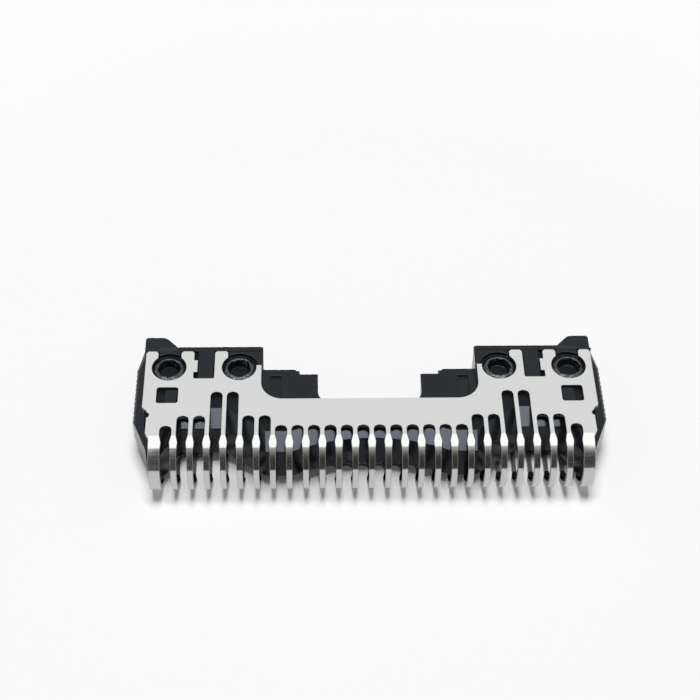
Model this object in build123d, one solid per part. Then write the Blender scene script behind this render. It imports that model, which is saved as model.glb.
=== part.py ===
from build123d import *
from math import cos, radians, sin
import os

# An inner blade of a foil shaver: a folded steel comb staked to a moulded carrier.
# Millimetres. X runs along the comb, +Y towards the carrier's feet, +Z up.
# The blade lies on one leg, as it rests on a table.
# While it is built, Y starts at the tangent line of the arch and Z at the middle of the section.

# Steel comb: section of the folded sheet
blade_height = 5.6
sheet = 0.4
leg_depth = 9.41

# Steel comb: slots, half of them on each side of the middle tooth
slot_pitch = 1.38
slots_per_side = 13
slot_width = 1.02
slot_waist = 0.70
slot_front = 0.88
slot_corner = 0.40
slot_corner_steps = 2
waist_narrow = 0.72
waist_end = 1.55
short_slot = 1.00
medium_slot = 2.08
long_slot_land = 4.68

# Steel comb: ends of the sheet
end_land = 1.62
end_shoulder_inset = 0.43
end_tooth_inset = 0.73
end_shoulder_depth = 3.08
end_shoulder_slope = 0.43
end_tooth_start = 0.20
end_tooth_slope = 0.50
end_notch_radius = 0.32
end_notch_depth = 2.20
end_notch_overlap = 0.10

# Steel comb: window over the drive and openings for the carrier's stakes and bosses
window_depth = 5.48
window_corner = 1.85
keyhole_radius = 1.50
keyhole_neck = 2.00
keyhole_from_edge = 1.86
keyhole_from_end = 2.05
keyhole_spacing = 6.05
keyhole_from_window = 1.93
mouth_chamfer = 0.18
boss_notch_width = 1.80
boss_notch_depth = 3.14
boss_notch_corner = 0.15
notch_lug_reach = 0.32
notch_lug_width = 1.35
notch_lug_from_edge = 1.05
hole_width = 1.85
hole_length = 1.76
hole_from_edge = 4.14
hole_corner = 0.15
relief_depth = 1.64

# Carrier: fits against the steel
seat_gap = 0.02
side_gap = 0.06
flush_drop = 0.05

# Carrier: nose under the arch; its fronts are measured from the arch's tangent line towards the legs
nose_drop = 0.75
nose_slope = 1.70
nose_overlap = 0.37
middle_front = 0.47
lobe_front = -0.99
recess_land = 0.51
outer_front = -1.33
lobe_from_window = 0.45
lobe_width = 2.10
recess_from_window = 3.05
recess_from_end = 3.28
outer_lobe_from_end = 1.58
middle_steps = 4

# Carrier: end blocks with their rim and pocket
rim_depth = 0.48
rim_recess = 0.30
rim_recess_width = 3.00
rim_recess_slope = 0.40
rim_end_inset = 0.15
rim_corner = 0.18
block_lip = 0.12
block_side_inset = 0.10
pocket_height = 2.50
pocket_depth = 4.50
pocket_inner_wall = 0.52
boss_clearance = 0.07
hole_boss_gap = 0.10
hole_boss_width = 1.02
hole_boss_drop = 0.12

# Carrier: hollow feet
foot_reach = 2.52
foot_height = 2.54
foot_plate = 0.30
foot_wall = 1.10
foot_root_width = 3.05
foot_tip_width = 1.82
foot_straight = 1.20
foot_corner = 0.16
foot_shoulder_radius = 0.80

# Carrier: ribbed grips on the two ends
grip_height = 2.54
grip_proud = 0.92
grip_foot_proud = 0.38
grip_edge = 0.25
grip_start = 2.90
grip_taper = 3.20
grip_taper_drop = 1.28
grip_ramp_reach = 0.90
grip_foot_ramp = 2.20
rib_pitch = 0.52
rib_count = 11
rib_groove = 0.34
rib_depth = 0.17

# Carrier: heat-formed stakes
stake_gap = 0.07
stake_crest_radius = 1.00
stake_dish_floor = 0.80
stake_dish_depth = 0.85
stake_shoulder = 0.26
stake_floor_wall = 0.20
boss_root = 0.30
stake_moat = 0.16
neck_drop = 0.06

# Carrier: inner blocks beside the drive gap
inner_block_width = 4.77
inner_block_drop = 0.48
inner_block_setback = 1.38
inner_block_step = 0.55
inner_block_step_width = 1.51
inner_block_step_slope = 0.46
shelf = 0.45
channel_depth = 1.60
tab_width = 1.05
tab_from_gap = 1.60
tab_reach = 0.20
tab_height = 0.50
groove_width = 0.95
groove_from_window = 0.75
groove_length = 3.10
groove_depth = 0.25

# Carrier: bridge with the drive hole
bridge_lip = 0.24
bridge_corner = 1.30
bridge_flange = 0.93
panel_depth = 0.55
drive_boss_radius = 1.85
drive_hole_radius = 1.05
drive_hole_depth = 2.60

# Places worked out from the sizes above
arch_radius = blade_height / 2
inside = arch_radius - sheet
last_slot = (slots_per_side - 0.5) * slot_pitch
half_length = last_slot + slot_width / 2 + end_land
long_slot = leg_depth - long_slot_land
window_edge = leg_depth - window_depth
keyhole_y = leg_depth - keyhole_from_edge
outer_keyhole_x = half_length - keyhole_from_end
inner_keyhole_x = outer_keyhole_x - keyhole_spacing
half_window = inner_keyhole_x - keyhole_from_window
boss_x = (outer_keyhole_x + inner_keyhole_x) / 2
hole_y = leg_depth - hole_from_edge - hole_length / 2
core_half = inside - seat_gap
flush_half = arch_radius - flush_drop
rim_front = leg_depth + side_gap
rim_back = rim_front + rim_depth
foot_tip = rim_back + foot_reach
block_inner = half_window - block_lip
block_outer = half_length - block_side_inset
pocket_inner = block_inner + pocket_inner_wall
foot_outer = half_length + grip_foot_proud
half_gap = block_inner - inner_block_width
bridge_back = window_edge + bridge_lip
nose_root = bridge_back - nose_overlap
nose_end = half_length - end_tooth_inset - seat_gap
recess_front = nose_root - recess_land - nose_slope
inner_block_height = 2 * (core_half - inner_block_drop)
inner_block_reach = leg_depth - inner_block_setback
inner_block_step_x = half_gap + inner_block_step_width
channel_height = inner_block_height - 2 * shelf
boss_height = flush_half - core_half + boss_root
boss_level = flush_half - boss_height / 2
panel_height = 2 * (core_half - bridge_flange)
through = 2 * blade_height

# How far from a place an edge or corner still counts as lying on it
edge_pick = 0.01


def plan(points, height, middle=0.0):
    """Solid of a closed outline seen from above, with its height centred on a level."""
    face = make_face(Polyline(*points, close=True))
    return Pos(0, 0, middle) * extrude(face, amount=height / 2, both=True)


def block(x_from, x_to, y_from, y_to, height, middle=0.0):
    """Solid with straight sides between two X and two Y places, centred on a level."""
    corner = [(x_from, y_from), (x_to, y_from), (x_to, y_to), (x_from, y_to)]
    return plan(corner, height, middle)


def rectangle(x_from, x_to, y_from, y_to):
    """Flat rectangle between two X and two Y places."""
    centre = Pos((x_from + x_to) / 2, (y_from + y_to) / 2)
    return centre * Rectangle(x_to - x_from, y_to - y_from)


def both_ends(shape):
    """The shape and its mirror image at the other end."""
    return shape + mirror(shape, about=Plane.YZ)


def both_sides(shape):
    """The shape and its mirror image on the other leg."""
    return shape + mirror(shape, about=Plane.XY)


# Steel comb

def keyhole(x):
    """Round opening for a stake, with a neck to the open edge of the leg."""
    neck = rectangle(x - keyhole_neck / 2, x + keyhole_neck / 2, keyhole_y, leg_depth)
    return Pos(x, keyhole_y) * Circle(keyhole_radius) + neck


def boss_notch():
    """Notch for the middle boss, with a locating lug on its outer side."""
    outer = boss_x + boss_notch_width / 2
    notch = rectangle(outer - boss_notch_width, outer, leg_depth - boss_notch_depth, leg_depth)
    notch = fillet(notch.vertices().sort_by(Axis.Y)[:2], boss_notch_corner)
    lug_end = leg_depth - notch_lug_from_edge
    return notch - rectangle(outer - notch_lug_reach, outer, lug_end - notch_lug_width, lug_end)


def leg_plan(relieved):
    """Flat pattern of one leg; a relieved leg has no sheet behind the inner stakes."""
    sheet_plan = rectangle(-half_length, half_length, 0, leg_depth)
    window = rectangle(-half_window, half_window, window_edge, leg_depth + window_corner)
    sheet_plan -= fillet(window.vertices().sort_by(Axis.Y)[:2], window_corner)
    one_end = keyhole(outer_keyhole_x) + boss_notch() + keyhole(inner_keyhole_x)
    hole = Rectangle(hole_width, hole_length)
    one_end += Pos(outer_keyhole_x, hole_y) * chamfer(hole.vertices(), hole_corner)
    if relieved:
        one_end += rectangle(half_window, inner_keyhole_x, leg_depth - relief_depth, leg_depth)
    sheet_plan -= one_end
    sheet_plan -= mirror(one_end, about=Plane.YZ)
    mouths = sheet_plan.vertices().filter_by_position(Axis.Y, leg_depth - edge_pick, leg_depth + edge_pick)
    return chamfer(mouths, mouth_chamfer)


def slot(x, length):
    """Cutter for one slot: wide on the legs, waisted where the arch starts, open round the front."""
    flat, waist, front = slot_width / 2, slot_waist / 2, slot_front / 2
    half = [(front, -through), (front, -waist_end), (waist, -waist_narrow), (flat, 0)]
    corner = min(slot_corner, flat - seat_gap)
    for step in range(slot_corner_steps + 1):
        turn = radians(90 * step / slot_corner_steps)
        half.append((flat - corner * (1 - cos(turn)), length - corner * (1 - sin(turn))))
    outline = [(x - px, py) for px, py in half] + [(x + px, py) for px, py in half[::-1]]
    return plan(outline, 2 * through)


def slot_length(number):
    """Reach of a slot along the leg, counted from the end of the comb."""
    reaches = {1: medium_slot, 2: medium_slot, 3: long_slot, 4: long_slot, 5: medium_slot, 6: medium_slot}
    return reaches.get(number, short_slot)


def slots():
    """Cutters for the whole comb."""
    cutters = []
    for number in range(slots_per_side):
        x = last_slot - number * slot_pitch
        cutters += [slot(x, slot_length(number)), slot(-x, slot_length(number))]
    return cutters


def end_trim():
    """Cutter that narrows one end of the sheet towards its end tooth."""
    shoulder = half_length - end_shoulder_inset
    tooth = half_length - end_tooth_inset
    beyond = half_length + blade_height
    outline = [(half_length, end_shoulder_depth), (shoulder, end_shoulder_depth - end_shoulder_slope),
               (shoulder, end_tooth_start), (tooth, end_tooth_start - end_tooth_slope),
               (tooth, -through), (beyond, -through), (beyond, end_shoulder_depth)]
    notch = Pos(shoulder + end_notch_overlap, end_notch_depth, 0) * Cylinder(end_notch_radius, 2 * through)
    return plan(outline, 2 * through) + notch


def arch():
    """Half-round front of the folded sheet, over the whole length."""
    section = Circle(arch_radius) - Circle(inside)
    section -= rectangle(0, through, -through, through)
    return extrude(Plane.YZ * section, amount=half_length, both=True)


def cutter_blade():
    """The folded steel comb."""
    upper = Pos(0, 0, inside) * extrude(leg_plan(relieved=True), amount=sheet)
    lower = Pos(0, 0, -arch_radius) * extrude(leg_plan(relieved=False), amount=sheet)
    return upper + lower + arch() - both_ends(end_trim()) - slots()


# Moulded carrier

def nose_section(x, front):
    """Outline of the nose across the blade: flat against the legs, sloped to a blunt front."""
    edge = core_half - nose_drop
    half = [(nose_root, core_half), (front + nose_slope, core_half), (front, edge)]
    outline = half + [(py, -pz) for py, pz in half[::-1]]
    return Plane.YZ.offset(x) * make_face(Polyline(*outline, close=True))


def nose():
    """Core under the arch, hollowed in the middle and set back in front of the end blocks."""
    lobe_outer = half_window - lobe_from_window
    lobe_inner = lobe_outer - lobe_width
    stations = []
    for step in range(middle_steps + 1):
        share = step / middle_steps
        front = middle_front + (lobe_front - middle_front) * share ** 2
        stations.append((share * lobe_inner, front))
    stations += [(lobe_outer, lobe_front), (half_window + recess_from_window, recess_front),
                 (half_length - recess_from_end, recess_front),
                 (half_length - outer_lobe_from_end, outer_front),
                 (nose_end, outer_front)]
    half = loft([nose_section(x, front) for x, front in stations], ruled=True)
    return both_ends(half)


def stake(x):
    """Post through a keyhole, its head formed into a round rim with a dished middle."""
    radius = keyhole_radius - stake_gap
    shoulder = flush_half - stake_shoulder
    floor = flush_half - stake_dish_depth
    root = floor - stake_floor_wall
    profile = Polyline((0, root), (radius, root), (radius, shoulder), (stake_crest_radius, flush_half),
                       (stake_dish_floor, floor), (0, floor), close=True)
    return Pos(x, keyhole_y, 0) * revolve(Plane.XZ * make_face(profile), axis=Axis.Z)


def stake_seat(x):
    """Room in the end block for the dished middle of a stake."""
    radius = (stake_crest_radius + keyhole_radius - stake_gap) / 2
    bottom = flush_half - stake_dish_depth - stake_floor_wall / 2
    place = Pos(x, keyhole_y, bottom)
    return place * Cylinder(radius, through, align=(Align.CENTER, Align.CENTER, Align.MIN))


def bosses():
    """Blocks that fill the notch and the small hole of one end, on the upper leg."""
    outer = boss_x + boss_notch_width / 2 - notch_lug_reach - boss_clearance
    inner = boss_x - boss_notch_width / 2 + boss_clearance
    notch_end = leg_depth - boss_notch_depth + boss_clearance
    notch_boss = block(inner, outer, notch_end, rim_back, boss_height, boss_level)
    hole_inner = outer_keyhole_x - hole_width / 2 + hole_boss_gap
    hole_half = hole_length / 2 - hole_boss_gap
    hole_boss = block(hole_inner, hole_inner + hole_boss_width, hole_y - hole_half, hole_y + hole_half,
                      boss_height, boss_level - hole_boss_drop)
    return notch_boss + hole_boss


def necks(relieved):
    """Plastic beyond the stakes of one end, in the necks and where a relieved leg has no sheet.

    A moat parts it from each stake.
    """
    level = boss_level - neck_drop
    half = keyhole_neck / 2 - boss_clearance
    fill = block(block_inner, inner_keyhole_x, leg_depth - relief_depth + boss_clearance, rim_back,
                 boss_height, level) if relieved else Part()
    room = Part()
    for x in (outer_keyhole_x, inner_keyhole_x):
        fill += block(x - half, x + half, keyhole_y, rim_back, boss_height, level)
        moat = Cylinder(keyhole_radius + stake_moat, through, align=(Align.CENTER, Align.CENTER, Align.MIN))
        room += Pos(x, keyhole_y, core_half) * moat + stake_seat(x)
    return fill - room


def end_block():
    """Body of one end between the legs, with the rim behind the sheet and the stakes and bosses."""
    body = block(block_inner, block_outer, nose_root - nose_overlap, rim_back - rim_recess, 2 * core_half)
    body += block(nose_end - block_side_inset, block_outer, nose_root - nose_slope, nose_root, 2 * core_half)
    body -= both_sides(stake_seat(outer_keyhole_x) + stake_seat(inner_keyhole_x))
    rim_end = half_length + rim_end_inset
    recess = rim_end - rim_recess_width
    rim = plan([(block_inner, rim_front), (rim_end, rim_front), (rim_end, rim_back - rim_recess),
                (recess + rim_recess_slope, rim_back - rim_recess), (recess, rim_back),
                (block_inner + rim_corner, rim_back), (block_inner, rim_back - rim_corner)], 2 * flush_half)
    heads = stake(outer_keyhole_x) + stake(inner_keyhole_x) + bosses()
    necked = necks(relieved=True) + mirror(necks(relieved=False), about=Plane.XY)
    return body + rim + necked + both_sides(heads)


def foot():
    """Foot behind one end block: two plates and an outer wall, before it is hollowed."""
    root = foot_outer - foot_root_width
    tip = foot_outer - foot_tip_width
    body = plan([(root, leg_depth), (root, rim_back + foot_straight), (tip, foot_tip), (foot_outer, foot_tip),
                 (foot_outer, leg_depth)], foot_height)
    tip_edges = body.edges().filter_by(Axis.Z).group_by(Axis.Y)[-1].sort_by(Axis.X)
    body = fillet(tip_edges[0], foot_shoulder_radius)
    return chamfer(body.edges().filter_by(Axis.Z).sort_by(Axis.X)[-2:].sort_by(Axis.Y)[-1], foot_corner)


def pocket():
    """Hollow of one end block, which runs on between the plates of the foot."""
    bottom = rim_back - pocket_depth
    foot_root = foot_outer - foot_root_width
    deep = block(pocket_inner, foot_root, bottom, foot_tip + foot_reach, pocket_height)
    inside_foot = block(foot_root - foot_plate, foot_outer - foot_wall, bottom, foot_tip + foot_reach,
                        foot_height - 2 * foot_plate)
    return deep + inside_foot


def grip():
    """Ribbed pad on the outside of one end, from the foot to the taper beside the arch."""
    proud = half_length + grip_proud
    inner = nose_end - block_side_inset
    ramp = rim_back + grip_ramp_reach
    taper_end = grip_start - grip_taper
    pad = plan([(inner, ramp), (foot_outer, ramp), (proud, ramp - grip_foot_ramp), (proud, grip_start),
                (proud - grip_taper_drop, taper_end), (inner, taper_end)], grip_height)
    face_edges = pad.edges().filter_by_position(Axis.X, foot_outer - edge_pick, proud + edge_pick)
    long_edges = face_edges.filter_by(GeomType.LINE) - pad.edges().filter_by(Axis.Z)
    pad = chamfer(long_edges, grip_edge)
    groove = plan([(proud - rib_depth, 0), (proud + rib_depth, -rib_groove), (proud + rib_depth, rib_groove)],
                  2 * grip_height)
    first = (grip_start + ramp - grip_foot_ramp) / 2 - (rib_count - 1) * rib_pitch / 2
    return pad - [Pos(0, first + number * rib_pitch, 0) * groove for number in range(rib_count)]


def inner_block():
    """Stepped block beside the drive gap, with a channel, snap tabs and grooves."""
    reach = inner_block_reach
    body = plan([(half_gap, bridge_back - bridge_corner), (half_gap, reach - inner_block_step),
                 (inner_block_step_x, reach - inner_block_step),
                 (inner_block_step_x + inner_block_step_slope, reach),
                 (block_inner + seat_gap, reach), (block_inner + seat_gap, bridge_back - bridge_corner)],
                inner_block_height)
    body -= block(half_gap - seat_gap, block_inner, reach - channel_depth, reach + channel_depth,
                  channel_height)
    tab_level = channel_height / 2 - tab_height / 2 + seat_gap
    tab = block(half_gap + tab_from_gap, half_gap + tab_from_gap + tab_width, reach - channel_depth,
                reach + tab_reach, tab_height, tab_level)
    groove_outer = half_window - groove_from_window
    groove = block(groove_outer - groove_width, groove_outer, bridge_back - bridge_corner,
                   bridge_back - bridge_corner + groove_length + bridge_corner,
                   2 * groove_depth, inner_block_height / 2)
    return body + both_sides(tab) - both_sides(groove)


def bridge():
    """Nose and the wall behind it that joins the two ends, with flanges, panels and the drive boss."""
    wall = nose() + block(-block_inner, block_inner, nose_root - nose_slope, bridge_back, 2 * core_half)
    corner = rectangle(half_gap - bridge_corner, half_gap, bridge_back, bridge_back + bridge_corner)
    corner -= Pos(half_gap - bridge_corner, bridge_back + bridge_corner) * Circle(bridge_corner)
    wall += both_ends(extrude(corner, amount=inner_block_height / 2, both=True))
    panel = block(-half_gap, half_gap, bridge_back - panel_depth, bridge_back + bridge_corner, panel_height)
    facing = Plane.XZ.offset(-bridge_back)
    boss_face = Circle(drive_boss_radius) & Rectangle(2 * drive_boss_radius, 2 * core_half)
    boss = extrude(facing * boss_face, amount=panel_depth)
    hole = extrude(facing * Circle(drive_hole_radius), amount=drive_hole_depth)
    return wall - panel + boss - hole


def blade_carrier():
    """The moulded carrier with its stakes, feet and grips."""
    one_end = end_block() + foot() + grip() - pocket()
    return bridge() + both_ends(one_end + inner_block())


# The finished piece stands on its lower leg, with its box centred on the origin
placed = Pos(0, -(foot_tip - arch_radius) / 2, arch_radius)
nodes = {"cutter_blade": cutter_blade(), "blade_carrier": blade_carrier()}
os.makedirs("parts", exist_ok=True)
for name, solid in nodes.items():
    export_step(placed * solid, f"parts/{name}.step")
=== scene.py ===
import logging
import math
from abc import ABC, abstractmethod
from dataclasses import dataclass, field
from enum import Enum, IntEnum
from typing import Any

import bmesh
import bpy
from mathutils import Matrix, Vector, noise


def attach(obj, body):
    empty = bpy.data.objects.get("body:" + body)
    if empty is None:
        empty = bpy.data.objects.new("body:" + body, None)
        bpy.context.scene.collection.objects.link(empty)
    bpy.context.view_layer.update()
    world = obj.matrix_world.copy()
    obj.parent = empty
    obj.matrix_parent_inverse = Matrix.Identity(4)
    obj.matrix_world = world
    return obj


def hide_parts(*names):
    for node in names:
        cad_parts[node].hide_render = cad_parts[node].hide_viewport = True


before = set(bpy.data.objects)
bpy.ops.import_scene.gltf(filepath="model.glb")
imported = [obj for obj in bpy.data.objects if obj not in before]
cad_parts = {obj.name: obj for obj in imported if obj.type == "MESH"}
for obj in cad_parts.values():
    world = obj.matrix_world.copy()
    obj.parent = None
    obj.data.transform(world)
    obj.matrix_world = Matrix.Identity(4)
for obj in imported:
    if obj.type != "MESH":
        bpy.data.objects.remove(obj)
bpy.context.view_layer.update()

LOG = logging.getLogger("inner_blade")
MM = 0.001

Pair = tuple[float, float]
Triple = tuple[float, float, float]
Color = tuple[float, float, float, float]

# All of a share, from none to the whole
WHOLE: Pair = (0.0, 1.0)

# Where the flat legs of the comb end and its ground arch starts, along Y
CREASE = -4.835 * MM


class Shading(Enum):
    """How sharp an angle between two faces is, in degrees, before it counts as an edge."""

    STAMPED = 40.0
    MOULDED = 15.0


class CombFace(IntEnum):
    """Kinds of face on the steel comb, in the order of its finishes."""

    SHEET = 0
    CUT = 1
    EDGE = 2


class CarrierFace(IntEnum):
    """Kinds of face on the carrier, in the order of its finishes."""

    MOULDED = 0
    FORMED = 1
    DULL_AND_SHADED = 2


class NodeTree:
    """Small helper that adds and joins shader nodes."""

    def __init__(self, tree: bpy.types.NodeTree) -> None:
        """Starts from an empty tree of a material, world or group."""
        self.tree = tree
        self.tree.nodes.clear()

    def add(self, kind: str, **inputs: Any) -> bpy.types.Node:
        """Adds one node and sets its plain inputs.

        Args:
            kind: the node's type name.
            **inputs: values by socket name, with underscores for spaces.

        Returns:
            The new node.
        """
        node = self.tree.nodes.new(kind)
        for name, value in inputs.items():
            node.inputs[name.replace("_", " ")].default_value = value
        return node

    def join(self, source: bpy.types.NodeSocket, target: bpy.types.NodeSocket) -> None:
        """Links an output to an input."""
        self.tree.links.new(source, target)

    def on_piece(self) -> bpy.types.NodeSocket:
        """Gives the place on a piece, in the piece's own coordinates."""
        return self.add("ShaderNodeTexCoord").outputs["Object"]

    def axis(self, place: bpy.types.NodeSocket, name: str) -> bpy.types.NodeSocket:
        """Takes one axis of a place.

        Args:
            place: a socket with a place.
            name: X, Y or Z.

        Returns:
            The value along that axis.
        """
        split = self.add("ShaderNodeSeparateXYZ")
        self.join(place, split.inputs["Vector"])
        return split.outputs[name]

    def group(self, effect: bpy.types.NodeTree, place: bpy.types.NodeSocket) -> bpy.types.Node:
        """Puts in a shared effect.

        Args:
            effect: a node group with a Vector input.
            place: where on the piece the effect is worked out.

        Returns:
            The node that holds the group.
        """
        node = self.add("ShaderNodeGroup")
        node.node_tree = effect
        self.join(place, node.inputs["Vector"])
        return node

    def math(self, operation: str, first: Any, second: Any) -> bpy.types.NodeSocket:
        """Adds a Math node.

        Args:
            operation: the node's operation.
            first: a socket or a number.
            second: a socket or a number.

        Returns:
            The value socket of the node.
        """
        node = self.add("ShaderNodeMath")
        node.operation = operation
        for socket, value in zip(node.inputs, (first, second)):
            if isinstance(value, bpy.types.NodeSocket):
                self.join(value, socket)
            else:
                socket.default_value = value
        return node.outputs["Value"]

    def ramp(self, value: bpy.types.NodeSocket, span: Pair, result: Pair) -> bpy.types.NodeSocket:
        """Maps a value from one span to another, held at the ends.

        Args:
            value: the socket to map.
            span: where the value starts and ends.
            result: what comes out at those two places.

        Returns:
            The mapped value.
        """
        node = self.add("ShaderNodeMapRange", From_Min=span[0], From_Max=span[1],
                        To_Min=result[0], To_Max=result[1])
        self.join(value, node.inputs["Value"])
        return node.outputs["Result"]

    def mix(self, share: bpy.types.NodeSocket, first: Color, second: Color) -> bpy.types.NodeSocket:
        """Mixes two colours by a share that changes over the surface.

        Args:
            share: how much of the second colour shows.
            first: the colour at 0.
            second: the colour at 1.

        Returns:
            The mixed colour.
        """
        node = self.add("ShaderNodeMixRGB", Color1=first, Color2=second)
        self.join(share, node.inputs["Fac"])
        return node.outputs["Color"]


@dataclass(frozen=True)
class GrainGroup:
    """Fine surface grain with larger blotches, shared by all finishes."""

    name: str = "surface_grain"
    detail: float = 4.0
    blotch_share: float = 0.05
    blotch_detail: float = 2.0

    def build(self) -> bpy.types.NodeTree:
        """Builds the node group.

        Returns:
            A group with a Vector and a Stretch input, and Grain and Blotch outputs.
        """
        tree = bpy.data.node_groups.new(self.name, "ShaderNodeTree")
        sockets = tree.interface
        sockets.new_socket("Vector", in_out="INPUT", socket_type="NodeSocketVector")
        sockets.new_socket("Stretch", in_out="INPUT", socket_type="NodeSocketVector")
        sockets.new_socket("Grain", in_out="OUTPUT", socket_type="NodeSocketFloat")
        sockets.new_socket("Blotch", in_out="OUTPUT", socket_type="NodeSocketFloat")
        nodes = NodeTree(tree)
        given = nodes.add("NodeGroupInput")
        result = nodes.add("NodeGroupOutput")
        stretched = nodes.add("ShaderNodeVectorMath")
        stretched.operation = "MULTIPLY"
        nodes.join(given.outputs["Vector"], stretched.inputs[0])
        nodes.join(given.outputs["Stretch"], stretched.inputs[1])
        grain = nodes.add("ShaderNodeTexNoise", Scale=1.0, Detail=self.detail)
        blotch = nodes.add("ShaderNodeTexNoise", Scale=self.blotch_share, Detail=self.blotch_detail)
        for texture in (grain, blotch):
            nodes.join(stretched.outputs["Vector"], texture.inputs["Vector"])
        nodes.join(grain.outputs["Fac"], result.inputs["Grain"])
        nodes.join(blotch.outputs["Fac"], result.inputs["Blotch"])
        return tree


@dataclass(frozen=True)
class GroundGroup:
    """Mask of the ground arch, shared by the finishes of the steel."""

    name: str = "ground_arch"
    width: float = 0.10 * MM

    def build(self) -> bpy.types.NodeTree:
        """Builds the node group.

        Returns:
            A group with a Vector input and a Ground output, which is 1 on the arch and 0 on the legs.
        """
        tree = bpy.data.node_groups.new(self.name, "ShaderNodeTree")
        tree.interface.new_socket("Vector", in_out="INPUT", socket_type="NodeSocketVector")
        tree.interface.new_socket("Ground", in_out="OUTPUT", socket_type="NodeSocketFloat")
        nodes = NodeTree(tree)
        given = nodes.add("NodeGroupInput")
        result = nodes.add("NodeGroupOutput")
        along = nodes.axis(given.outputs["Vector"], "Y")
        ground = nodes.ramp(along, (CREASE - self.width, CREASE), (1.0, 0.0))
        nodes.join(ground, result.inputs["Ground"])
        return tree


@dataclass(frozen=True)
class Effects:
    """Node groups that more than one material uses."""

    grain: bpy.types.NodeTree
    ground: bpy.types.NodeTree


class GrainedSurface(NodeTree):
    """Node tree of a new material with a shader, and with the grain at each place on the piece."""

    def __init__(self, name: str, grain: bpy.types.NodeTree, stretch: Triple) -> None:
        """Starts the material.

        Args:
            name: the material's name.
            grain: the shared grain group.
            stretch: how fine the grain is along each axis.
        """
        self.material = bpy.data.materials.new(name)
        self.material.use_nodes = True
        super().__init__(self.material.node_tree)
        self.shader = self.add("ShaderNodeBsdfPrincipled")
        self.place = self.on_piece()
        self.grain = self.group(grain, self.place)
        self.grain.inputs["Stretch"].default_value = stretch
        output = self.add("ShaderNodeOutputMaterial")
        self.join(self.shader.outputs["BSDF"], output.inputs["Surface"])

    def feed(self, source: bpy.types.NodeSocket, name: str) -> None:
        """Links an output to one of the shader's inputs."""
        self.join(source, self.shader.inputs[name])

    def emboss(self, strength: float, depth: float) -> None:
        """Lets the grain stand out a little.

        Args:
            strength: how much of the depth shows.
            depth: the height of the grain.
        """
        bump = self.add("ShaderNodeBump", Strength=strength, Distance=depth)
        self.join(self.grain.outputs["Grain"], bump.inputs["Height"])
        self.feed(bump.outputs["Normal"], "Normal")


@dataclass(frozen=True)
class Tone:
    """Colour and roughness of one state of a surface."""

    color: Color
    roughness: float


@dataclass(frozen=True)
class SteelFinish:
    """Steel that changes its tone at the crease where the ground arch starts."""

    name: str
    leg: Tone
    arch: Tone
    metallic: float = 1.0
    grain_span: Pair = (0.3, 0.7)
    roughness_spread: float = 0.03
    stretch: Triple = (700.0, 9000.0, 9000.0)
    bump: float = 0.004
    bump_depth: float = 0.01 * MM

    def material(self, effects: Effects) -> bpy.types.Material:
        """Builds the material.

        Args:
            effects: the shared node groups.

        Returns:
            The steel material.
        """
        surface = GrainedSurface(self.name, effects.grain, self.stretch)
        surface.shader.inputs["Metallic"].default_value = self.metallic
        ground = surface.group(effects.ground, surface.place).outputs["Ground"]
        surface.feed(surface.mix(ground, self.leg.color, self.arch.color), "Base Color")
        base = surface.ramp(ground, WHOLE, (self.leg.roughness, self.arch.roughness))
        spread = (-self.roughness_spread, self.roughness_spread)
        change = surface.ramp(surface.grain.outputs["Grain"], self.grain_span, spread)
        surface.feed(surface.math("ADD", base, change), "Roughness")
        surface.emboss(self.bump, self.bump_depth)
        return surface.material


@dataclass(frozen=True)
class PlasticFinish:
    """Black plastic with a soft sheen."""

    name: str
    color: Color
    pale_color: Color
    sheen_level: float
    sheen_tint: Color
    roughness: Pair
    stretch: Triple
    bump: float
    bump_depth: float = 0.03 * MM
    blotch_span: Pair = (0.35, 0.65)

    def material(self, effects: Effects) -> bpy.types.Material:
        """Builds the material.

        Args:
            effects: the shared node groups.

        Returns:
            The plastic material.
        """
        surface = GrainedSurface(self.name, effects.grain, self.stretch)
        surface.shader.inputs["Specular IOR Level"].default_value = self.sheen_level
        surface.shader.inputs["Specular Tint"].default_value = self.sheen_tint
        blotch = surface.ramp(surface.grain.outputs["Blotch"], self.blotch_span, WHOLE)
        surface.feed(surface.mix(blotch, self.color, self.pale_color), "Base Color")
        surface.feed(surface.ramp(blotch, WHOLE, self.roughness), "Roughness")
        surface.emboss(self.bump, self.bump_depth)
        return surface.material


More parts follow.
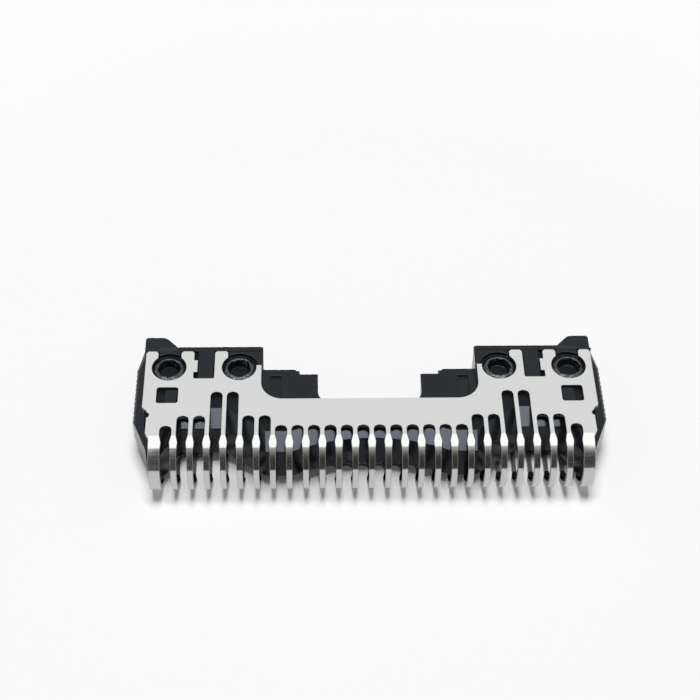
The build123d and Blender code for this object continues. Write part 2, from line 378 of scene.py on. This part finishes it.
@dataclass
class EdgedPiece(ABC):
    """A solid of the blade with its edges rounded as the real piece has them."""

    node: str
    name: str
    slot: str
    edge: float
    shading: Shading
    edge_finish: int = -1
    merge: float = 0.025 * MM
    flat_angle: float = 0.6
    segments: int = 3
    edge_share: float = 0.42
    in_line: float = 0.9
    flat_weight: int = 100
    object: bpy.types.Object | None = field(default=None, init=False)

    @abstractmethod
    def kind_of(self, face: bmesh.types.BMFace) -> int:
        """Says which finish of the piece's list a face takes."""

    @abstractmethod
    def finishes(self) -> list[SteelFinish | PlasticFinish]:
        """Lists the finishes of the piece in the order that its faces use."""

    def formed(self, point: Vector) -> Vector:
        """Gives the place of a corner after the piece was put together: the same, if nothing formed it."""
        return point

    def edge_width(self, edge: bmesh.types.BMEdge) -> float:
        """Gives the rounding that an edge would have with room to spare."""
        return self.edge

    def build(self) -> None:
        """Copies the solid's mesh, sorts its faces by finish, forms its corners and rounds its edges."""
        mesh = bpy.data.meshes.new(self.name)
        work = bmesh.new()
        work.from_mesh(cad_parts[self.node].data)
        bmesh.ops.remove_doubles(work, verts=work.verts, dist=self.merge)
        flat = math.radians(self.flat_angle)
        bmesh.ops.dissolve_limit(work, angle_limit=flat, verts=work.verts, edges=work.edges)
        for face in work.faces:
            face.smooth = True
            face.material_index = self.kind_of(face)
        widest = self._weigh_edges(work)
        work.to_mesh(mesh)
        work.free()
        mesh.set_sharp_from_angle(angle=math.radians(self.shading.value))
        for corner in mesh.vertices:
            corner.co = self.formed(corner.co)
        self.object = bpy.data.objects.new(self.name, mesh)
        bpy.context.scene.collection.objects.link(self.object)
        self._round_edges(widest)
        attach(self.object, "root")
        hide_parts(self.node)

    def _room_for(self, edge: bmesh.types.BMEdge) -> float:
        """Finds how wide an edge can be rounded before it meets its neighbours.

        Args:
            edge: an edge between two faces at an angle.

        Returns:
            The width of the rounding that fits.
        """
        room = self.edge_width(edge)
        for corner in edge.verts:
            along = (edge.other_vert(corner).co - corner.co).normalized()
            for other in corner.link_edges:
                across = other.other_vert(corner).co - corner.co
                if abs(along.dot(across.normalized())) < self.in_line:
                    room = min(room, self.edge_share * across.length)
        return room

    def _weigh_edges(self, work: bmesh.types.BMesh) -> float:
        """Weighs each sharp edge by the rounding that it takes.

        Args:
            work: the mesh of the piece.

        Returns:
            The widest rounding, which has the weight 1.
        """
        weight = work.edges.layers.float.new("bevel_weight_edge")
        limit = math.radians(self.shading.value)
        sharp = [edge for edge in work.edges if edge.calc_face_angle() > limit]
        widths = {edge: self._room_for(edge) for edge in sharp}
        widest = max(widths.values())
        for edge, width in widths.items():
            edge[weight] = width / widest
        return widest

    def _round_edges(self, widest: float) -> None:
        """Adds the small roundings of the edges and keeps the flats between them flat.

        Args:
            widest: the rounding of an edge with the weight 1.
        """
        bevel = self.object.modifiers.new("edges", "BEVEL")
        bevel.width = widest
        bevel.segments = self.segments
        bevel.limit_method = "WEIGHT"
        bevel.use_clamp_overlap = False
        bevel.material = self.edge_finish
        bevel.offset_type = "WIDTH"
        flats = self.object.modifiers.new("flats", "WEIGHTED_NORMAL")
        flats.weight = self.flat_weight
        flats.keep_sharp = True

    def dress(self, effects: Effects) -> None:
        """Gives the piece its finishes, which use the shared effects."""
        for finish in self.finishes():
            self.object.data.materials.append(finish.material(effects))


@dataclass
class SteelComb(EdgedPiece):
    """Folded sheet with slots: satin legs, ground arch, rougher punched walls darkened with painted shade,
    and bright edges.
    """

    node: str = "cutter_blade"
    name: str = "steel_comb"
    slot: str = "steel"
    edge: float = 0.028 * MM
    shading: Shading = Shading.STAMPED
    edge_finish: int = CombFace.EDGE
    wall_slope: float = 0.5

    def kind_of(self, face: bmesh.types.BMFace) -> int:
        """Tells the punched walls, which take painted shade, from the sheet.

        Args:
            face: a face of the solid.

        Returns:
            The kind of face.
        """
        upright = abs(face.normal.z) < self.wall_slope
        on_leg = face.calc_center_median().y > CREASE
        sideways = abs(face.normal.x) > self.wall_slope
        # Punched walls and tooth sides take the dark finish: painted shade, on steel that is also rougher
        # there.
        return CombFace.CUT if sideways or (on_leg and upright) else CombFace.SHEET

    def finishes(self) -> list[SteelFinish | PlasticFinish]:
        """Lists the finishes of sheet, punched walls with painted shade, and edges.

        Returns:
            The finishes in the order of the kinds of face.
        """
        sheet = SteelFinish("comb_steel", leg=Tone((0.70, 0.71, 0.70, 1.0), 0.44),
                            arch=Tone((0.97, 0.97, 0.96, 1.0), 0.12))
        # Punched walls: rougher sheared steel, with a dark colour that is painted shade of slots and tooth
        # sides.
        cut_and_shaded = SteelFinish("punched_and_shaded_steel", leg=Tone((0.10, 0.10, 0.10, 1.0), 0.48),
                          arch=Tone((0.20, 0.20, 0.20, 1.0), 0.32))
        edge = SteelFinish("burnished_steel", leg=Tone((0.62, 0.62, 0.61, 1.0), 0.30),
                           arch=Tone((0.50, 0.50, 0.49, 1.0), 0.20))
        return [sheet, cut_and_shaded, edge]


@dataclass
class BlackCarrier(EdgedPiece):
    """Moulded carrier whose stake heads are formed by heat."""

    node: str = "blade_carrier"
    name: str = "black_carrier"
    slot: str = "plastic"
    edge: float = 0.08 * MM
    shading: Shading = Shading.MOULDED
    stake_x: Pair = (11.28 * MM, 17.33 * MM)
    stake_y: float = 2.715 * MM
    stake_radius: float = 1.50 * MM
    crest_radius: float = 1.00 * MM
    crest_edge: float = 0.20 * MM
    lump_size: float = 0.42 * MM
    lump_drop: float = 0.20 * MM
    lump_reach: float = 0.14 * MM
    dish_radius: float = 0.30 * MM
    mid_height: float = 2.80 * MM
    seat_heights: Pair = (2.30 * MM, 2.40 * MM)
    level: float = 0.99

    def _stake_arm(self, point: Vector) -> Vector:
        """Finds the level arm from the axis of the nearest stake to a point.

        Args:
            point: a place on the carrier.

        Returns:
            The arm, at right angles to the axis.
        """
        arms = [Vector((point.x - math.copysign(x, point.x), point.y - self.stake_y, 0.0))
                for x in self.stake_x]
        return min(arms, key=lambda arm: arm.length)

    def _from_stake(self, point: Vector) -> float:
        """Measures how far a point is from the axis of the nearest stake."""
        return self._stake_arm(point).length

    def formed(self, point: Vector) -> Vector:
        """Presses the crests of the stakes unevenly, as the hot tool left them.

        Args:
            point: a corner of the carrier.

        Returns:
            The place of the corner after the stakes were formed.
        """
        arm = self._stake_arm(point)
        if abs(arm.length - self.crest_radius) > self.edge:
            return point
        lump = noise.noise(point / self.lump_size)
        inwards = math.copysign(self.lump_drop * abs(lump), self.mid_height - point.z)
        return point + self.lump_reach * lump * arm.normalized() + Vector((0.0, 0.0, inwards))

    def kind_of(self, face: bmesh.types.BMFace) -> int:
        """Tells the formed stake heads, and the seats and dish floors that are darkened with painted shade,
        from the rest.

        Args:
            face: a face of the solid.

        Returns:
            The kind of face.
        """
        middle = face.calc_center_median()
        off_axis = self._from_stake(middle)
        height = abs(middle.z - self.mid_height)
        seat = self.seat_heights[0] < height < self.seat_heights[1]
        # Seats and dish floors lie in recesses: their matte, darker finish is partly rough seats, partly
        # painted shade.
        if abs(face.normal.z) > self.level and (seat or off_axis < self.dish_radius):
            return CarrierFace.DULL_AND_SHADED
        on_stake = all(self._from_stake(corner.co) < self.stake_radius for corner in face.verts)
        return CarrierFace.FORMED if on_stake else CarrierFace.MOULDED

    def edge_width(self, edge: bmesh.types.BMEdge) -> float:
        """Rounds the crests of the stakes more than the other edges."""
        crest = all(abs(self._from_stake(end.co) - self.crest_radius) < self.edge for end in edge.verts)
        return self.crest_edge if crest else self.edge

    def finishes(self) -> list[SteelFinish | PlasticFinish]:
        """Lists the finishes of the moulded faces, the formed heads, and the seats and dish floors with
        painted shade.

        Returns:
            The finishes in the order of the kinds of face.
        """
        blue = (0.80, 0.89, 1.0, 1.0)
        moulded = PlasticFinish("carrier_plastic", color=(0.005, 0.006, 0.008, 1.0),
                                pale_color=(0.007, 0.008, 0.010, 1.0), sheen_level=0.28, sheen_tint=blue,
                                roughness=(0.16, 0.25), stretch=(4200.0, 4200.0, 4200.0), bump=0.10)
        formed = PlasticFinish("formed_plastic", color=(0.004, 0.005, 0.006, 1.0),
                               pale_color=(0.006, 0.007, 0.008, 1.0), sheen_level=0.85, sheen_tint=blue,
                               roughness=(0.10, 0.22), stretch=(2600.0, 2600.0, 2600.0), bump=0.90,
                               bump_depth=0.14 * MM)
        # Matte, darker plastic: partly rough seat faces, partly painted shade of recesses and dish floors.
        dull_and_shaded = PlasticFinish("dull_and_shaded_plastic", color=(0.004, 0.005, 0.006, 1.0),
                             pale_color=(0.006, 0.007, 0.008, 1.0), sheen_level=0.16, sheen_tint=blue,
                             roughness=(0.36, 0.50), stretch=(4200.0, 4200.0, 4200.0), bump=0.20)
        return [moulded, formed, dull_and_shaded]


@dataclass
class Studio:
    """Pale table, key lamp, lamp for the carrier's sheen, and cards that are only mirrored."""

    floor_size: float = 3.0
    floor_drop: float = 0.02 * MM
    floor_color: Color = (0.95, 0.95, 0.95, 1.0)
    floor_lift: Pair = (0.04, 0.78)
    floor_lift_at: Pair = (0.04, 0.78)
    world_color: Color = (1.0, 1.0, 1.0, 1.0)
    world_light: float = 0.14
    lamp_size: Pair = (0.60, 0.20)
    lamp_place: Triple = (0.0, -0.06, 0.60)
    lamp_power: float = 2.9
    key_size: Pair = (0.24, 0.20)
    key_place: Triple = (-0.01, 0.01, 0.62)
    key_power: float = 3.30
    card_width: float = 0.30
    card_middle: float = 0.03
    card_bottom: Pair = (-0.70, 0.0)
    card_top: Pair = (-0.20, 1.00)
    card_color: Color = (0.030, 0.029, 0.028, 1.0)
    card_pale_color: Color = (0.33, 0.33, 0.30, 1.0)
    card_pale_across: Pair = (-0.15, -0.07)
    card_pale_up: Pair = (-0.11, 0.40)
    card_pale_curve: float = 1.5
    front_size: Pair = (0.40, 0.70)
    front_edge: float = -5.0 * MM
    # Grey near the blade: painted shade of the floor, seen only in the arch's reflection.
    front_shade_color: Color = (0.51, 0.51, 0.50, 1.0)
    front_reach: Pair = (0.08, 0.24)

    def build(self, sheen_on: bpy.types.Object) -> None:
        """Builds the floor, the lamps, the cards and the world.

        Args:
            sheen_on: the piece whose sheen the overhead lamp gives.
        """
        self._floor()
        strip = self._lamp("overhead_lamp", self.lamp_size, self.lamp_place, self.lamp_power)
        strip.visible_diffuse = False
        strip.light_linking.receiver_collection = bpy.data.collections.new(strip.name)
        strip.light_linking.receiver_collection.objects.link(sheen_on)
        key = self._lamp("key_lamp", self.key_size, self.key_place, self.key_power)
        key.visible_glossy = False
        self._dark_card()
        self._front_card()
        self._world()

    def _plane(self, name: str, size: Pair) -> bpy.types.Object:
        """Builds a flat stage piece.

        Args:
            name: its name.
            size: its width and depth.

        Returns:
            The piece, marked as stage.
        """
        half_x, half_y = size[0] / 2, size[1] / 2
        corners = [(-half_x, -half_y, 0), (half_x, -half_y, 0), (half_x, half_y, 0), (-half_x, half_y, 0)]
        mesh = bpy.data.meshes.new(name)
        mesh.from_pydata(corners, [], [(0, 1, 2, 3)])
        piece = bpy.data.objects.new(name, mesh)
        bpy.context.scene.collection.objects.link(piece)
        return piece

    def _cover(self, piece: bpy.types.Object, name: str) -> NodeTree:
        """Starts the material of a stage piece.

        Args:
            piece: the floor or a card.
            name: the material's name.

        Returns:
            The empty node tree of the material.
        """
        material = bpy.data.materials.new(name)
        material.use_nodes = True
        piece.data.materials.append(material)
        return NodeTree(material.node_tree)

    def _mirrored_only(self, card: bpy.types.Object) -> NodeTree:
        """Hides a card from all but reflections and starts its material.

        Args:
            card: the card.

        Returns:
            The empty node tree of its material.
        """
        card.visible_camera = False
        card.visible_diffuse = False
        card.visible_shadow = False
        return self._cover(card, card.name)

    def _glow(self, nodes: NodeTree, color: bpy.types.NodeSocket) -> None:
        """Lets a card glow in a colour.

        Args:
            nodes: the node tree of the card's material.
            color: the colour over the card.
        """
        output = nodes.add("ShaderNodeOutputMaterial")
        face = nodes.add("ShaderNodeEmission")
        nodes.join(color, face.inputs["Color"])
        nodes.join(face.outputs["Emission"], output.inputs["Surface"])

    def _floor(self) -> None:
        """Lays the pale table, lifted to white farther off while it keeps the shadow."""
        floor = self._plane("table", (self.floor_size, self.floor_size))
        floor.location.z = -self.floor_drop
        nodes = self._cover(floor, "table_white")
        output = nodes.add("ShaderNodeOutputMaterial")
        cover = nodes.add("ShaderNodeBsdfDiffuse", Color=self.floor_color)
        lift = nodes.add("ShaderNodeEmission")
        path = nodes.add("ShaderNodeLightPath")
        both = nodes.add("ShaderNodeAddShader")
        seen = nodes.math("MAXIMUM", path.outputs["Is Camera Ray"], path.outputs["Is Glossy Ray"])
        away = nodes.add("ShaderNodeVectorMath")
        away.operation = "LENGTH"
        nodes.join(nodes.on_piece(), away.inputs[0])
        rise = nodes.ramp(away.outputs["Value"], self.floor_lift_at, self.floor_lift)
        nodes.join(nodes.math("MULTIPLY", seen, rise), lift.inputs["Strength"])
        nodes.join(cover.outputs["BSDF"], both.inputs[0])
        nodes.join(lift.outputs["Emission"], both.inputs[1])
        nodes.join(both.outputs["Shader"], output.inputs["Surface"])

    def _lamp(self, name: str, size: Pair, place: Triple, power: float) -> bpy.types.Object:
        """Hangs a soft lamp that points at the blade.

        Args:
            name: its name.
            size: its width and depth.
            place: where it hangs.
            power: its power in watts.

        Returns:
            The lamp.
        """
        data = bpy.data.lights.new(name, "AREA")
        data.shape = "RECTANGLE"
        data.size, data.size_y = size
        data.energy = power
        lamp = bpy.data.objects.new(name, data)
        lamp.location = place
        lamp.rotation_euler = Vector(place).to_track_quat("Z", "Y").to_euler()
        bpy.context.scene.collection.objects.link(lamp)
        return lamp

    def _dark_card(self) -> None:
        """Leans the dark card that the ground arch mirrors, paler towards its top but not at its left."""
        rise = Vector(self.card_top) - Vector(self.card_bottom)
        middle = (Vector(self.card_top) + Vector(self.card_bottom)) / 2
        card = self._plane("dark_card", (self.card_width, rise.length))
        card.rotation_euler.x = math.atan2(rise.y, rise.x)
        card.location = (self.card_middle, middle.x, middle.y)
        nodes = self._mirrored_only(card)
        place = nodes.on_piece()
        across = nodes.ramp(nodes.axis(place, "X"), self.card_pale_across, WHOLE)
        upwards = nodes.ramp(nodes.axis(place, "Y"), self.card_pale_up, WHOLE)
        pale = nodes.math("MULTIPLY", across, nodes.math("POWER", upwards, self.card_pale_curve))
        self._glow(nodes, nodes.mix(pale, self.card_color, self.card_pale_color))

    def _front_card(self) -> None:
        """Lays the card in front of the blade that the arch mirrors, grey near it as painted shade of the
        floor there and dark farther off.
        """
        card = self._plane("grey_card", self.front_size)
        half_depth = self.front_size[1] / 2
        card.location.y = self.front_edge - half_depth
        nodes = self._mirrored_only(card)
        reach = nodes.math("SUBTRACT", half_depth, nodes.axis(nodes.on_piece(), "Y"))
        far = nodes.ramp(reach, self.front_reach, WHOLE)
        self._glow(nodes, nodes.mix(far, self.front_shade_color, self.card_color))

    def _world(self) -> None:
        """Sets the white surroundings, at full strength only where they are seen or mirrored."""
        world = bpy.data.worlds.new("white_room")
        bpy.context.scene.world = world
        world.use_nodes = True
        nodes = NodeTree(world.node_tree)
        output = nodes.add("ShaderNodeOutputWorld")
        background = nodes.add("ShaderNodeBackground", Color=self.world_color)
        path = nodes.add("ShaderNodeLightPath")
        mirrored = nodes.math("MAXIMUM", path.outputs["Is Glossy Ray"], path.outputs["Is Transmission Ray"])
        seen = nodes.math("MAXIMUM", path.outputs["Is Camera Ray"], mirrored)
        nodes.join(nodes.ramp(seen, WHOLE, (self.world_light, 1.0)), background.inputs["Strength"])
        nodes.join(background.outputs["Background"], output.inputs["Surface"])


@dataclass(frozen=True)
class PhotoCamera:
    """Camera at the photograph's place and angle."""

    place: Triple = (-4.846 * MM, -90.936 * MM, 110.866 * MM)
    turn: float = -1.919
    tilt: float = 42.25
    roll: float = 1.105
    lens: float = 83.58
    clip_start: float = 5.0 * MM

    def build(self) -> None:
        """Builds the camera and makes it the scene's own."""
        data = bpy.data.cameras.new("photo_camera")
        data.sensor_fit = "HORIZONTAL"
        data.lens = self.lens
        data.clip_start = self.clip_start
        camera = bpy.data.objects.new("photo_camera", data)
        turned = Matrix.Rotation(math.radians(self.turn), 4, "Z")
        tilted = Matrix.Rotation(math.radians(self.tilt), 4, "X")
        rolled = Matrix.Rotation(math.radians(self.roll), 4, "Z")
        camera.matrix_world = Matrix.Translation(self.place) @ turned @ tilted @ rolled
        bpy.context.scene.collection.objects.link(camera)
        bpy.context.scene.camera = camera


def main() -> None:
    """Builds and dresses the blade, then the studio and the camera."""
    logging.basicConfig(level=logging.INFO)
    bpy.context.scene.view_settings.view_transform = "Standard"
    effects = Effects(grain=GrainGroup().build(), ground=GroundGroup().build())
    comb, carrier = SteelComb(), BlackCarrier()
    for piece in (comb, carrier):
        piece.build()
        piece.dress(effects)
        LOG.info("%s: %d faces before its edges are rounded", piece.name, len(piece.object.data.polygons))
    Studio().build(carrier.object)
    PhotoCamera().build()


if __name__ == "__main__":
    main()
